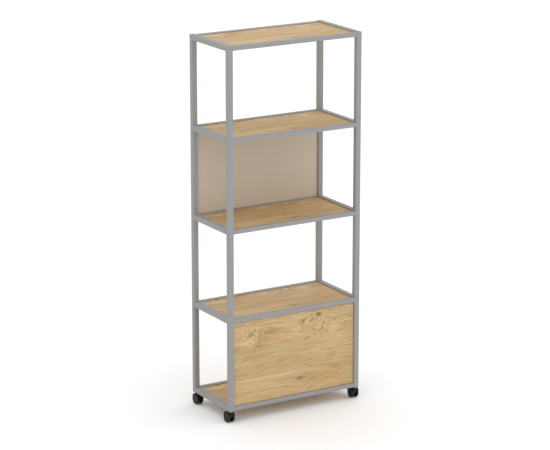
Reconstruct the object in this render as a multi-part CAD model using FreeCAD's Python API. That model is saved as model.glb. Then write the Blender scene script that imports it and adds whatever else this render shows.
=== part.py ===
import FreeCAD, Part
import math
import os

# Mobile shelving unit: a square-tube frame with five inset boards, a front panel, a back panel
# and four twin-wheel casters.
# Millimetres.  X runs along the width, -Y faces the front and Z is up.
# The origin is on the floor, under the middle of the frame.

# Frame
frame_width = 700.0
frame_depth = 350.0
frame_height = 1700.0
level_count = 5
tube_size = 25.0          # square tube of the posts and side rails
tube_wall = 1.5
tube_corner = 2.0         # outer corner radius of every tube
long_rail_height = 20.0   # the front and back rails are lower than the side rails
cap_thickness = 1.5

# Boards and panels
board_thickness = 16.0
board_gap = 1.0           # between a board and the rails round it
board_edge = 0.5          # eased edges of boards and panels
panel_thickness = 8.0
panel_gap = 1.0           # between a panel and the posts and rails round it
front_panel_bay = 0       # bays are counted from the floor
back_panel_bay = 2

# Tabs that carry the boards and panels
tab_thickness = 2.5
shelf_tab_width = 30.0
shelf_tab_reach = 24.0
shelf_tab_inset = 85.0    # from the front or back of the frame to the middle of a tab
panel_tab_height = 36.0
panel_tab_reach = 26.0
panel_tab_inset = 70.0    # from a panel's upper or lower edge to the middle of a tab
panel_setback = 8.5       # from the front of a post to the front of a panel

# Wood screws
screw_radius = 2.0
screw_tip = 3.0
screw_head_radius = 3.9
screw_head_height = 2.2
screw_head_flat = 2.2     # radius of the flat on a head
screw_head_rim = 0.7      # upright edge of every screw's head
shelf_screw_length = 14.0
panel_screw_length = 8.5

# Spigots and screws of the long rails
spigot_length = 40.0
spigot_wall = 2.5
spigot_height = 15.0
spigot_play = 0.3
rail_screw_radius = 3.0
rail_screw_hole_play = 0.3
rail_screw_length = 9.0
rail_screw_tip = 0.8
rail_screw_head_radius = 5.25
rail_screw_head_height = 2.2
rail_screw_head_flat = 2.8
rail_screw_inset = 22.0   # from a post to the screw

# Casters
wheel_radius = 25.0
wheel_width = 10.0
wheel_edge = 1.6
wheel_wall = 2.4
wheel_dish = 1.2
wheel_rib_count = 6
wheel_rib = 1.6
wheel_hub_radius = 6.0
body_width = 12.0         # the part of the housing between the wheels
body_web = 4.0
wheel_side_gap = 0.5
trail = 16.0              # from the swivel axis to the axle
hood_gap = 1.2
hood_wall = 1.8
hood_shoulder = 1.3       # rounded outer edges of the hood
hood_lip = 0.7            # rounded ends of the hood
hood_rear_angle = 18.0    # the hood's ends, from the horizontal through the axle
hood_front_angle = 158.0
hood_headroom = 2.0       # between the hood and the frame
axle_radius = 3.0
axle_play = 0.05
axle_end_gap = 0.5
axle_groove_depth = 0.4
axle_groove_width = 1.6
axle_groove_inset = 2.5
wheel_bead_width = 1.0
stem_radius = 4.0
stem_play = 0.05
stem_thread_length = 25.0
stem_chamfer = 1.0
collar_flats = 13.0
collar_height = 2.8
swivel_gap = 0.3
boss_length = 25.0
pin_end_gap = 2.0
clip_inset = 4.0
clip_thickness = 1.0
clip_depth = 0.6
clip_opening = 3.0
clip_play = 0.3
insert_height = 28.0

# Heights and places that follow from the sizes
half_width = frame_width / 2
half_depth = frame_depth / 2
post_x = half_width - tube_size / 2
post_y = half_depth - tube_size / 2
inner_x = half_width - tube_size
inner_y = half_depth - tube_size
axle_height = wheel_radius
hood_radius = wheel_radius + hood_gap + hood_wall
frame_bottom = axle_height + hood_radius + hood_headroom
frame_top = frame_bottom + frame_height
level_pitch = (frame_height - tube_size) / (level_count - 1)
level_bottoms = [frame_bottom + level * level_pitch for level in range(level_count)]
long_rail_drop = (tube_size - long_rail_height) / 2
screw_hole_radius = screw_radius

X_AXIS = FreeCAD.Vector(1, 0, 0)
Y_AXIS = FreeCAD.Vector(0, 1, 0)
Z_AXIS = FreeCAD.Vector(0, 0, 1)
CORNERS = {
    "front_left": (-1, -1),
    "front_right": (1, -1),
    "back_left": (-1, 1),
    "back_right": (1, 1),
}


def point(x, y, z):
    return FreeCAD.Vector(x, y, z)


def moved(shape, x, y, z):
    copy = shape.copy()
    copy.translate(point(x, y, z))
    return copy


def turned(shape, axis, angle):
    copy = shape.copy()
    copy.rotate(point(0, 0, 0), axis, angle)
    return copy


def block(low, high):
    """A box between two corners."""
    size = [b - a for a, b in zip(low, high)]
    return Part.makeBox(*size, point(*low))


def rounded_bar(width, depth, length, radius):
    """A bar along Z from the origin, with rounded long edges."""
    bar = block((-width / 2, -depth / 2, 0), (width / 2, depth / 2, length))
    long_edges = [edge for edge in bar.Edges if abs(edge.tangentAt(edge.FirstParameter).z) > 0.5]
    return bar.makeFillet(radius, long_edges)


def square_tube(width, depth, length):
    """A hollow bar along Z from the origin."""
    outside = rounded_bar(width, depth, length, tube_corner)
    inside = rounded_bar(width - 2 * tube_wall, depth - 2 * tube_wall, length, tube_corner - tube_wall)
    return outside.cut(inside)


def revolved(profile, axis=Z_AXIS, angle=360):
    """A solid of revolution about an axis through the origin, from a closed outline of points and arcs.

    The outline is a list of points; a tuple of two points is an arc's middle and end.
    """
    edges = []
    start = profile[0]
    for step in profile[1:] + [profile[0]]:
        if isinstance(step, tuple):
            edges.append(Part.Arc(start, step[0], step[1]).toShape())
            start = step[1]
        else:
            edges.append(Part.LineSegment(start, step).toShape())
            start = step
    return Part.Face(Part.Wire(edges)).revolve(point(0, 0, 0), axis, angle)


def eased_board(low, high):
    """A board with slightly eased edges."""
    board = block(low, high)
    return board.makeChamfer(board_edge, board.Edges)


def one_solid(shape):
    solid = shape.removeSplitter()
    return solid.Solids[0] if len(solid.Solids) == 1 else solid


# Posts and rails

def make_post(side, end):
    length = frame_height - cap_thickness
    return moved(square_tube(tube_size, tube_size, length), side * post_x, end * post_y, frame_bottom)


def make_post_caps():
    cap = rounded_bar(tube_size, tube_size, cap_thickness, tube_corner)
    z = frame_top - cap_thickness
    return [moved(cap, side * post_x, end * post_y, z) for side, end in CORNERS.values()]


def make_side_rail(side, level):
    rail = turned(square_tube(tube_size, tube_size, 2 * inner_y), X_AXIS, -90)
    return moved(rail, side * post_x, -inner_y, level_bottoms[level] + tube_size / 2)


def make_long_rail(end, level):
    """A front or back rail, with a screw hole in its underside near each end."""
    rail = turned(square_tube(long_rail_height, tube_size, 2 * inner_x), Y_AXIS, 90)
    bottom = level_bottoms[level] + long_rail_drop
    rail = moved(rail, -inner_x, end * post_y, bottom + long_rail_height / 2)
    hole = Part.makeCylinder(rail_screw_radius + rail_screw_hole_play, tube_wall)
    for side in (-1, 1):
        rail = rail.cut(moved(hole, side * (inner_x - rail_screw_inset), end * post_y, bottom))
    return rail


def make_spigot():
    """A folded channel that stands out from a post at the origin along +X, with a tapped floor."""
    width = tube_size - 2 * tube_wall - 2 * spigot_play
    outline = [
        (-width / 2, 0),
        (width / 2, 0),
        (width / 2, spigot_height),
        (width / 2 - spigot_wall, spigot_height),
        (width / 2 - spigot_wall, spigot_wall),
        (-width / 2 + spigot_wall, spigot_wall),
        (-width / 2 + spigot_wall, spigot_height),
        (-width / 2, spigot_height),
    ]
    corners = [point(0, y, z) for y, z in outline]
    channel = Part.Face(Part.makePolygon(corners + corners[:1])).extrude(point(spigot_length, 0, 0))
    folds = [
        edge for edge in channel.Edges
        if edge.Length > spigot_length - 0.01 and abs(edge.CenterOfMass.z) < 0.01
    ]
    channel = channel.makeFillet(spigot_wall * 0.6, folds)
    thread = Part.makeCylinder(rail_screw_radius, spigot_wall)
    return channel.cut(moved(thread, rail_screw_inset, 0, 0))


def screw_head(radius, height, flat):
    """The outline of a head below the origin, from its middle out to its underside."""
    return [
        point(0, 0, -height),
        point(flat, 0, -height),
        point(radius, 0, -screw_head_rim),
        point(radius, 0, 0),
    ]


def make_rail_screw():
    """A low button-head screw that points up, with the underside of its head at the origin."""
    head = screw_head(rail_screw_head_radius, rail_screw_head_height, rail_screw_head_flat)
    return revolved(head + [
        point(rail_screw_radius, 0, 0),
        point(rail_screw_radius, 0, rail_screw_length - rail_screw_tip),
        point(rail_screw_radius - rail_screw_tip, 0, rail_screw_length),
        point(0, 0, rail_screw_length),
    ])


def long_rail_joints(shape, height):
    """Copies of a shape at both ends of every long rail, at a height above the rail's underside."""
    copies = []
    for level in range(level_count):
        z = level_bottoms[level] + long_rail_drop + height
        for side, end in CORNERS.values():
            facing = turned(shape, Z_AXIS, 180) if side > 0 else shape
            copies.append(moved(facing, side * inner_x, end * post_y, z))
    return copies


# Boards, panels and what holds them

def make_wood_screw(length):
    """A pan-head wood screw that points up, with the underside of its head at the origin."""
    head = screw_head(screw_head_radius, screw_head_height, screw_head_flat)
    return revolved(head + [
        point(screw_radius, 0, 0),
        point(screw_radius, 0, length - screw_tip),
        point(0, 0, length),
    ])


def shelf_tab_places(level):
    """The middle of each tab's root on the side rails, and the side it is on."""
    y = half_depth - shelf_tab_inset
    return [(side, side * inner_x, end * y, level_bottoms[level]) for side, end in CORNERS.values()]


def make_shelf_tab():
    """A plate that stands out from a rail at the origin along +X, with rounded free corners and a hole."""
    plate = block((0, -shelf_tab_width / 2, 0), (shelf_tab_reach, shelf_tab_width / 2, tab_thickness))
    free = [
        edge for edge in plate.Edges
        if edge.Length < tab_thickness + 0.01 and edge.CenterOfMass.x > shelf_tab_reach / 2
    ]
    plate = plate.makeFillet(shelf_tab_reach / 4, free)
    hole = Part.makeCylinder(screw_hole_radius, tab_thickness)
    return plate.cut(moved(hole, shelf_tab_reach / 2, 0, 0))


def make_shelf_tabs():
    tab = make_shelf_tab()
    tabs = []
    for level in range(level_count):
        for side, x, y, z in shelf_tab_places(level):
            facing = turned(tab, Z_AXIS, 180) if side > 0 else tab
            tabs.append(moved(facing, x, y, z))
    return tabs


def make_shelf_screws(level):
    screw = make_wood_screw(shelf_screw_length)
    return [
        moved(screw, x - side * shelf_tab_reach / 2, y, z)
        for side, x, y, z in shelf_tab_places(level)
    ]


def make_shelf(level):
    half_x = inner_x - board_gap
    half_y = inner_y - board_gap
    bottom = level_bottoms[level] + tab_thickness
    shelf = eased_board((-half_x, -half_y, bottom), (half_x, half_y, bottom + board_thickness))
    return shelf.cut(make_shelf_screws(level))


def panel_back(end):
    """Where the back of a panel meets its tabs."""
    return (-half_depth if end < 0 else inner_y) + panel_setback + panel_thickness


def panel_span(bay):
    """The lower and upper edge of a panel in a bay: it clears the screw heads under the rail above."""
    low = level_bottoms[bay] + long_rail_drop + long_rail_height + panel_gap
    high = level_bottoms[bay + 1] + long_rail_drop - rail_screw_head_height - panel_gap
    return low, high


def panel_tab_places(end, bay):
    low, high = panel_span(bay)
    heights = (low + panel_tab_inset, high - panel_tab_inset)
    return [(side, side * inner_x, panel_back(end), z) for side in (-1, 1) for z in heights]


def make_panel_tab():
    """A plate that stands out from a post at the origin along +X, behind a panel."""
    plate = block((0, 0, -panel_tab_height / 2), (panel_tab_reach, tab_thickness, panel_tab_height / 2))
    free = [
        edge for edge in plate.Edges
        if edge.Length < tab_thickness + 0.01 and edge.CenterOfMass.x > panel_tab_reach / 2
    ]
    plate = plate.makeFillet(panel_tab_reach / 4, free)
    hole = turned(Part.makeCylinder(screw_hole_radius, tab_thickness), X_AXIS, -90)
    return plate.cut(moved(hole, panel_tab_reach / 2, 0, 0))


def make_panel_tabs(end, bay):
    tab = make_panel_tab()
    mirrored = tab.mirror(point(0, 0, 0), X_AXIS)
    return [moved(mirrored if side > 0 else tab, x, y, z) for side, x, y, z in panel_tab_places(end, bay)]


def make_panel_screws(end, bay):
    screw = turned(make_wood_screw(panel_screw_length), X_AXIS, 90)
    return [
        moved(screw, x - side * panel_tab_reach / 2, y + tab_thickness, z)
        for side, x, y, z in panel_tab_places(end, bay)
    ]


def make_panel(end, bay):
    half_x = inner_x - panel_gap
    low, high = panel_span(bay)
    back = panel_back(end)
    panel = eased_board((-half_x, back - panel_thickness, low), (half_x, back, high))
    return panel.cut(make_panel_screws(end, bay))


# Casters
# Each piece is made with the swivel axis on Z, the floor at zero and the axle behind it on +Y.

boss_radius = body_width / 2
boss_top = frame_bottom - collar_height - swivel_gap
boss_bottom = boss_top - boss_length
pin_bottom = boss_bottom + pin_end_gap
clip_bottom = pin_bottom + clip_inset
hood_half_width = body_width / 2 + wheel_side_gap + wheel_width
axle_half_length = hood_half_width - wheel_wall - axle_end_gap


def to_axle(shape):
    """Moves a shape from the origin to the axle."""
    return moved(shape, 0, trail, axle_height)


def round_bar_x(radius, half_length):
    """A round bar along X, with its middle at the origin."""
    return turned(moved(Part.makeCylinder(radius, 2 * half_length), 0, 0, -half_length), Y_AXIS, 90)


def hood_arc(radius):
    """The rear end, middle and front end of an arc of the hood's side view, about the axle."""
    middle = (hood_rear_angle + hood_front_angle) / 2
    turns = [math.radians(angle) for angle in (hood_rear_angle, middle, hood_front_angle)]
    return [point(0, radius * math.cos(turn), radius * math.sin(turn)) for turn in turns]


def make_hood():
    """A curved cover over both wheels, with rounded shoulders and ends."""
    half = hood_half_width
    under = hood_radius - hood_wall
    side = hood_radius - hood_shoulder
    soft = hood_shoulder * (1 - math.sqrt(0.5))
    profile = [
        point(-half, under, 0),
        point(half, under, 0),
        point(half, side, 0),
        (point(half - soft, hood_radius - soft, 0), point(half - hood_shoulder, hood_radius, 0)),
        point(hood_shoulder - half, hood_radius, 0),
        (point(soft - half, hood_radius - soft, 0), point(-half, side, 0)),
    ]
    cover = revolved(profile, X_AXIS, hood_front_angle - hood_rear_angle)
    cover = turned(cover, X_AXIS, hood_rear_angle)
    ends = [
        edge for edge in cover.Edges
        if edge.Length > half and abs(edge.CenterOfMass.x) < 0.01
        and math.hypot(edge.CenterOfMass.y, edge.CenterOfMass.z) > hood_radius - 0.01
    ]
    return cover.makeFillet(hood_lip, ends)


def make_web():
    """The plate between the wheels, a sector from the axle out into the hood."""
    rim = hood_arc(hood_radius - hood_wall / 2)
    axle = point(0, 0, 0)
    edges = [
        Part.LineSegment(axle, rim[0]).toShape(),
        Part.Arc(*rim).toShape(),
        Part.LineSegment(rim[2], axle).toShape(),
    ]
    plate = Part.Face(Part.Wire(edges)).extrude(point(body_web, 0, 0))
    return moved(plate, -body_web / 2, 0, 0)


def make_housing():
    """The moulded body: hood, web, axle hub and the boss that turns on the stem."""
    hub = round_bar_x(wheel_hub_radius, body_width / 2)
    body = to_axle(make_hood().fuse([make_web(), hub]))
    body = body.fuse(moved(Part.makeCylinder(boss_radius, boss_length), 0, 0, boss_bottom))
    collar_room = collar_flats / math.sqrt(3) + swivel_gap
    clip_room = stem_radius + clip_depth + clip_play
    body = body.cut([
        moved(Part.makeCylinder(collar_room, frame_bottom - boss_top), 0, 0, boss_top),
        moved(Part.makeCylinder(stem_radius + stem_play, boss_length), 0, 0, boss_bottom),
        moved(Part.makeCylinder(clip_room, clip_thickness + 2 * clip_play), 0, 0, clip_bottom - clip_play),
        to_axle(round_bar_x(axle_radius, body_width)),
    ])
    return one_solid(body)


def make_stem():
    """A threaded stud above a hexagon collar, and below it the grooved pin that the housing turns on."""
    top = frame_bottom + stem_thread_length
    groove = stem_radius - clip_depth
    pin = revolved([
        point(0, 0, pin_bottom),
        point(stem_radius - stem_chamfer, 0, pin_bottom),
        point(stem_radius, 0, pin_bottom + stem_chamfer),
        point(stem_radius, 0, clip_bottom),
        point(groove, 0, clip_bottom),
        point(groove, 0, clip_bottom + clip_thickness),
        point(stem_radius, 0, clip_bottom + clip_thickness),
        point(stem_radius, 0, top - stem_chamfer),
        point(stem_radius - stem_chamfer, 0, top),
        point(0, 0, top),
    ])
    reach = collar_flats / math.sqrt(3)
    corners = [
        point(reach * math.cos(math.radians(60 * k)), reach * math.sin(math.radians(60 * k)), 0)
        for k in range(6)
    ]
    collar = Part.Face(Part.makePolygon(corners + corners[:1])).extrude(point(0, 0, collar_height))
    return one_solid(pin.fuse(moved(collar, 0, 0, frame_bottom - collar_height)))


def make_clip():
    """An open ring in the stem's groove."""
    inner = stem_radius - clip_depth
    ring = Part.makeCylinder(stem_radius + clip_depth, clip_thickness)
    ring = ring.cut(Part.makeCylinder(inner, clip_thickness))
    opening = block((0, -clip_opening / 2, 0), (2 * stem_radius, clip_opening / 2, clip_thickness))
    return moved(ring.cut(opening), 0, 0, clip_bottom)


def make_insert():
    """The threaded block in the bottom of a post."""
    size = tube_size - 2 * tube_wall
    block_shape = rounded_bar(size, size, insert_height, tube_corner - tube_wall)
    block_shape = moved(block_shape, 0, 0, frame_bottom)
    thread = Part.makeCylinder(stem_radius, insert_height)
    return block_shape.cut(moved(thread, 0, 0, frame_bottom))


def axle_grooves():
    """The start and end of the groove near the axle's +X end."""
    start = axle_half_length - axle_groove_inset - axle_groove_width
    return start, start + axle_groove_width


def make_axle():
    """A round pin with a groove near each end, which keeps a wheel on."""
    axle = round_bar_x(axle_radius, axle_half_length)
    start, stop = axle_grooves()
    ring = Part.makeCylinder(axle_radius, stop - start)
    ring = ring.cut(Part.makeCylinder(axle_radius - axle_groove_depth, stop - start))
    ring = turned(ring, Y_AXIS, 90)
    axle = axle.cut([moved(ring, start, 0, 0), moved(ring, -stop, 0, 0)])
    return to_axle(axle)


def make_wheel():
    """The wheel on the +X side: a dished disc with a ribbed inside and a blind hub that snaps on the axle."""
    inner = body_width / 2 + wheel_side_gap
    outer = inner + wheel_width
    rim = wheel_radius - wheel_wall
    bore = axle_radius + axle_play
    bead = axle_radius - axle_groove_depth + axle_play
    bore_end = outer - wheel_wall
    start, stop = axle_grooves()
    bead_start = (start + stop - wheel_bead_width) / 2
    edge = wheel_edge
    soft = edge * (1 - math.sqrt(0.5))
    dish_outer = wheel_radius - 2 * wheel_wall
    dish_inner = wheel_hub_radius + wheel_wall
    disc = bore_end - wheel_dish
    profile = [
        point(inner, bore, 0),
        point(bead_start, bore, 0),
        point(bead_start, bead, 0),
        point(bead_start + wheel_bead_width, bead, 0),
        point(bead_start + wheel_bead_width, bore, 0),
        point(bore_end, bore, 0),
        point(bore_end, 0, 0),
        point(outer, 0, 0),
        point(outer, dish_inner - wheel_dish, 0),
        point(outer - wheel_dish, dish_inner, 0),
        point(outer - wheel_dish, dish_outer, 0),
        point(outer, dish_outer + wheel_dish, 0),
        point(outer, wheel_radius - edge, 0),
        (point(outer - soft, wheel_radius - soft, 0), point(outer - edge, wheel_radius, 0)),
        point(inner + edge, wheel_radius, 0),
        (point(inner + soft, wheel_radius - soft, 0), point(inner, wheel_radius - edge, 0)),
        point(inner, rim, 0),
        point(disc, rim, 0),
        point(disc, wheel_hub_radius, 0),
        point(inner, wheel_hub_radius, 0),
    ]
    wheel = revolved(profile, X_AXIS)
    rib = block(
        (inner + wheel_edge, -wheel_rib / 2, wheel_hub_radius - wheel_rib),
        (disc, wheel_rib / 2, rim + wheel_rib / 2),
    )
    ribs = [turned(rib, X_AXIS, 360 / wheel_rib_count * k) for k in range(wheel_rib_count)]
    return to_axle(one_solid(wheel.fuse(ribs)))


def make_caster_pieces():
    """The pieces of one caster that turn, by name, at the swivel axis."""
    wheel = make_wheel()
    return {
        "housing": make_housing(),
        "axle": make_axle(),
        "wheel_right": wheel,
        "wheel_left": wheel.mirror(point(0, 0, 0), X_AXIS),
    }


# Every node by name

def make_nodes():
    nodes = {}
    for corner, (side, end) in CORNERS.items():
        nodes[f"post_{corner}"] = make_post(side, end)
    nodes["post_caps"] = make_post_caps()
    for level in range(level_count):
        floor_name = level + 1
        nodes[f"side_rail_left_{floor_name}"] = make_side_rail(-1, level)
        nodes[f"side_rail_right_{floor_name}"] = make_side_rail(1, level)
        nodes[f"front_rail_{floor_name}"] = make_long_rail(-1, level)
        nodes[f"back_rail_{floor_name}"] = make_long_rail(1, level)
        nodes[f"shelf_{floor_name}"] = make_shelf(level)
    nodes["rail_spigots"] = long_rail_joints(make_spigot(), tube_wall)
    nodes["rail_screws"] = long_rail_joints(moved(make_rail_screw(), rail_screw_inset, 0, 0), 0)
    nodes["shelf_tabs"] = make_shelf_tabs()
    nodes["shelf_screws"] = [screw for level in range(level_count) for screw in make_shelf_screws(level)]
    panels = {"front": (-1, front_panel_bay), "back": (1, back_panel_bay)}
    for name, place in panels.items():
        nodes[f"{name}_panel"] = make_panel(*place)
    nodes["panel_tabs"] = [tab for place in panels.values() for tab in make_panel_tabs(*place)]
    nodes["panel_screws"] = [screw for place in panels.values() for screw in make_panel_screws(*place)]
    posts = [(side * post_x, end * post_y) for side, end in CORNERS.values()]
    nodes["stem_inserts"] = [moved(make_insert(), x, y, 0) for x, y in posts]
    nodes["stem_clips"] = [moved(make_clip(), x, y, 0) for x, y in posts]
    stem = make_stem()
    pieces = make_caster_pieces()
    for corner, (side, end) in CORNERS.items():
        nodes[f"caster_{corner}_stem"] = moved(stem, side * post_x, end * post_y, 0)
        for name, piece in pieces.items():
            # The front casters trail backwards and the back ones forwards.
            facing = piece.mirror(point(0, 0, 0), Y_AXIS) if end > 0 else piece
            nodes[f"caster_{corner}_{name}"] = moved(facing, side * post_x, end * post_y, 0)
    return nodes


def write_nodes(nodes):
    os.makedirs("parts", exist_ok=True)
    for name, shape in nodes.items():
        if isinstance(shape, list):
            shape = Part.makeCompound(shape)
        shape.exportStep(f"parts/{name}.step")


write_nodes(make_nodes())
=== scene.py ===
import math
from collections import namedtuple
from contextlib import contextmanager
import bmesh
import bpy
from mathutils import Matrix, Vector


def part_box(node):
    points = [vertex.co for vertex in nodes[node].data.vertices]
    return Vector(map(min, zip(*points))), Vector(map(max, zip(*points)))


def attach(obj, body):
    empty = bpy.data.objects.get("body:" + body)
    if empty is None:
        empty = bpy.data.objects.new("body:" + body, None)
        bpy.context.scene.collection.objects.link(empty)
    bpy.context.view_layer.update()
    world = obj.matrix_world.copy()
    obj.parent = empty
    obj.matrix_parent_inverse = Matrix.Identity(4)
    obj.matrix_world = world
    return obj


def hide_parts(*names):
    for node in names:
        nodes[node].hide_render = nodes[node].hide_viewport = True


# Looks of the mobile shelving unit: finishes, fine pieces, floor, light and camera.
# Metres.  X runs along the width, -Y faces the front and Z is up.

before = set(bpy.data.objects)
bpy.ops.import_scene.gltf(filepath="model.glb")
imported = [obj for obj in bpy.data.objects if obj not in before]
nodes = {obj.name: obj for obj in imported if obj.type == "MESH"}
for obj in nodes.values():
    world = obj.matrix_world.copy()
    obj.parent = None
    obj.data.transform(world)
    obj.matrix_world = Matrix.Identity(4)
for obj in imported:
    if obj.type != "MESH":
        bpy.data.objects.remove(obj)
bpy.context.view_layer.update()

# The frame, and what repeats in it
LEVELS = range(1, 6)
PANELS = ("front_panel", "back_panel")
CORNERS = ("front_left", "front_right", "back_left", "back_right")
HANDS = {"left": -1, "right": 1}
SIDES = (-1, 1)
INNER_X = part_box("side_rail_right_1")[0][0]
HALF_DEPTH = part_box("post_back_right")[1][1]
POST_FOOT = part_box("post_back_right")[0][2]
POST_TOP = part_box("post_caps")[1][2]

# Tabs that carry the boards and the panels
TAB_THICKNESS = 0.0025
SHELF_TAB_INSET = 0.085        # from the front or back of the frame
PANEL_TAB_INSET = 0.070        # from a panel's upper or lower edge

# Screws
Screw = namedtuple("Screw", "head_radius head_height shank_radius length tip")
SHELF_SCREW = Screw(
    head_radius=0.0039, head_height=0.0022, shank_radius=0.0020, length=0.0140, tip=0.0030,
)
PANEL_SCREW = SHELF_SCREW._replace(length=0.0085)
RAIL_SCREW = Screw(
    head_radius=0.00525, head_height=0.0022, shank_radius=0.0030, length=0.0090, tip=0.0008,
)
SHELF_SCREW_REACH = 0.012      # from a side rail
PANEL_SCREW_REACH = 0.013      # from a post
RAIL_SCREW_REACH = 0.022       # from a post
SCREW_SIDES = 32
SCREW_POINT = 0.08             # a wood screw's point, as a share of its shank
HEAD_ROUNDING = 0.6            # share of a head's height
HEAD_ROUND_STEPS = 5
CROSS_LENGTH = 0.0046
CROSS_WIDTH = 0.0010
CROSS_DEPTH = 0.0018
CROSS_TAPER = 0.55             # inner end of the arm that cuts it, as a share of the outer end
SOCKET_SIDES = 6
SOCKET_RADIUS = 0.0023
SOCKET_DEPTH = 0.0014
SOCKET_FLOOR_INSET = 0.3 * SOCKET_RADIUS
SOCKET_FLOOR_CONE = 0.2 * SOCKET_DEPTH
GOLDEN_TURN = math.radians(137.5)

# Welds
RAIL_WELD_LENGTH = 0.0205
SHELF_TAB_WELD_LENGTH = 0.026
PANEL_TAB_WELD_LENGTH = 0.030
WELD_SIDES = 10
WELD_RADIUS = 0.0017
WELD_STEP = 0.0011
WELD_SWELLS = ((0.09, 2.2), (0.05, 0.7))    # share of the radius, and radians from ring to ring
WELD_END = 0.5                 # an end's last ring, as a share of the one before
WELD_CLEARANCE = 0.001         # no bead lies nearer to the ends of a post

# Wheels
wheel_low, wheel_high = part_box("caster_front_left_wheel_left")
WHEEL_RADIUS = (wheel_high[2] - wheel_low[2]) / 2
WHEEL_WIDTH = wheel_high[0] - wheel_low[0]
WHEEL_SIDES = 72
WHEEL_WALL = 0.0024
WHEEL_RIM = 0.0036
WHEEL_DISH = 0.0012
WHEEL_CAP_RADIUS = 0.0084
WHEEL_CAP_LIP = 0.0010
WHEEL_CAP_SINK = WHEEL_DISH / 3
WHEEL_CAP_DRAFT = 0.94         # the sunk cap at its bottom, as a share of its mouth
WHEEL_CAVITY = 0.0064
WHEEL_HUB_RADIUS = 0.0060
WHEEL_BORE = 0.00305
WHEEL_BORE_DEPTH = 0.0076
WHEEL_RIB = 0.0016
WHEEL_RIB_COUNT = 6
WHEEL_TREAD_EDGE = 0.0016
WHEEL_TREAD_EDGE_STEPS = 5
WHEEL_SOFT_EDGE = 0.0004
WHEEL_SOFT_EDGE_STEPS = 3
DISH_MOUTH = WHEEL_RADIUS - WHEEL_RIM
DISH_FLOOR = DISH_MOUTH - WHEEL_DISH
CAP_TOP = WHEEL_CAP_RADIUS - WHEEL_DISH
RIM_INSIDE = WHEEL_RADIUS - WHEEL_WALL

# Selecting and smoothing
SAME_HEIGHT = 1e-6             # within this, a point lies at a height
ON_RING = 2e-5                 # within this, it lies on a ring
SMOOTH_ANGLE = math.radians(32)

# Camera, floor and light
CAMERA_PLACE = Vector((-5.5094, -9.1628, 3.7458))
CAMERA_AIM = Vector((-0.0062, -0.0031, 0.856))
CAMERA_LENS = 156.97           # millimetres
CAMERA_SENSOR = 36.0           # millimetres
CAMERA_REACH = 200.0
FLOOR_SIZE = 120.0
LIGHT_FROM_RIGHT = 0.40        # share that is added on the right and taken off on the left
LIGHT_LOW_DOWN = 2.0           # how fast that fades towards the top

# Colours, linear
WHITE = (1.0, 1.0, 1.0)
FLOOR_LIT = (0.90, 0.90, 0.90)
FLOOR_SEEN = (1.1, 1.1, 1.1)
FRAME_GREY = (0.366, 0.365, 0.364)
TAUPE = (0.630, 0.545, 0.440)
CASTER_BLACK = (0.0085, 0.0085, 0.009)
CASTER_DUST = (0.0153, 0.0153, 0.0162)
TREAD_DUST = (0.040, 0.038, 0.035)
BLACK_ZINC = (0.030, 0.030, 0.032)
BRIGHT_ZINC = (0.60, 0.60, 0.61)
OAK_PALE = (0.745, 0.575, 0.330)
OAK_MIDDLE = (0.615, 0.438, 0.232)
OAK_DEEP = (0.480, 0.320, 0.145)
OAK_DARK = (0.330, 0.190, 0.075)
OAK_WARMTH = (1.01, 0.87, 0.73)
KNOT_BROWN = (0.200, 0.066, 0.016)

# Plain finishes: noise in marks to the metre, contrast, range of roughness and relief
Noise = namedtuple("Noise", "scale detail roughness", defaults=(2.0, 0.5))
Relief = namedtuple("Relief", "depth strength")
NOISE_SPAN = (0.3, 0.7)        # where most of a noise lies
COAT_GLOSS = 0.04
COAT_CLOUDS = Noise(9.0, 3.0)
COAT_CLOUD_SHARE = 0.6
COAT_SPECKLE = Noise(1400.0, 1.0)
COAT_SPECKLE_SHARE = 0.4
COAT_CONTRAST = 0.045
COAT_ROUGHNESS = (0.42, 0.52)
COAT_PEEL = Noise(750.0, 1.5)
COAT_RELIEF = Relief(0.00006, 0.35)
LAMINATE_GLOSS = 0.3
LAMINATE_CLOUDS = Noise(6.0, 3.0)
LAMINATE_CLOUD_SHARE = 0.4
LAMINATE_PEARL = Noise(900.0)
LAMINATE_PEARL_SHARE = 0.6
LAMINATE_CONTRAST = 0.05
LAMINATE_ROUGHNESS = (0.5, 0.62)
LAMINATE_RELIEF = Relief(0.00008, 0.4)
CASTER_GLOSS = 0.22
CASTER_TEXTURE = Noise(2500.0)
CASTER_ROUGHNESS = (0.34, 0.48)
CASTER_RELIEF = Relief(0.00005, 0.3)
HOUSING_CLOUDS = Noise(60.0, 3.0)
HOUSING_DUST_SPAN = (0.45, 0.8)
TREAD_CLOUDS = Noise(90.0, 4.0, 0.6)
TREAD_DUST_SPAN = (0.35, 0.70)
TREAD_DUST_SHARE = (0.10, 0.75)
TREAD_DUST_ROUGHNESS = 0.3
TREAD_DUST_STARTS = 0.0012     # below the tread
TREAD_DUST_FULL = 0.0002
ZINC_SCRATCHES = Noise(1800.0, 3.0)
ZINC_CONTRAST = 0.15
ZINC_ROUGHNESS = (0.24, 0.4)
BLACK_ZINC_METALLIC = 0.6
BRIGHT_ZINC_METALLIC = 1.0

# Oak decor: its planks, edge bands and tones
OAK_GLOSS = 0.2
OAK_TONES = ((0.15, OAK_DARK), (0.36, OAK_DEEP), (0.52, OAK_MIDDLE), (0.76, OAK_PALE))
PANEL_LIGHTNESS = 0.52
SHELF_LIGHTNESS = 0.483
SHELF_DECOR_LIFT = 0.263       # height on the front panel that the middle of a board looks like
PLANK_LINE = 0.199             # height of the line between the two planks
PLANK_LINE_HALF = 0.0010       # half its width
PLANK_CHANGE = 3.7             # how far apart the two planks lie in the noise
EDGE_BAND = 0.0011
EDGE_BAND_SEAM_HALF = 0.00018
SEAM_DARKNESS = 0.45

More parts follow.
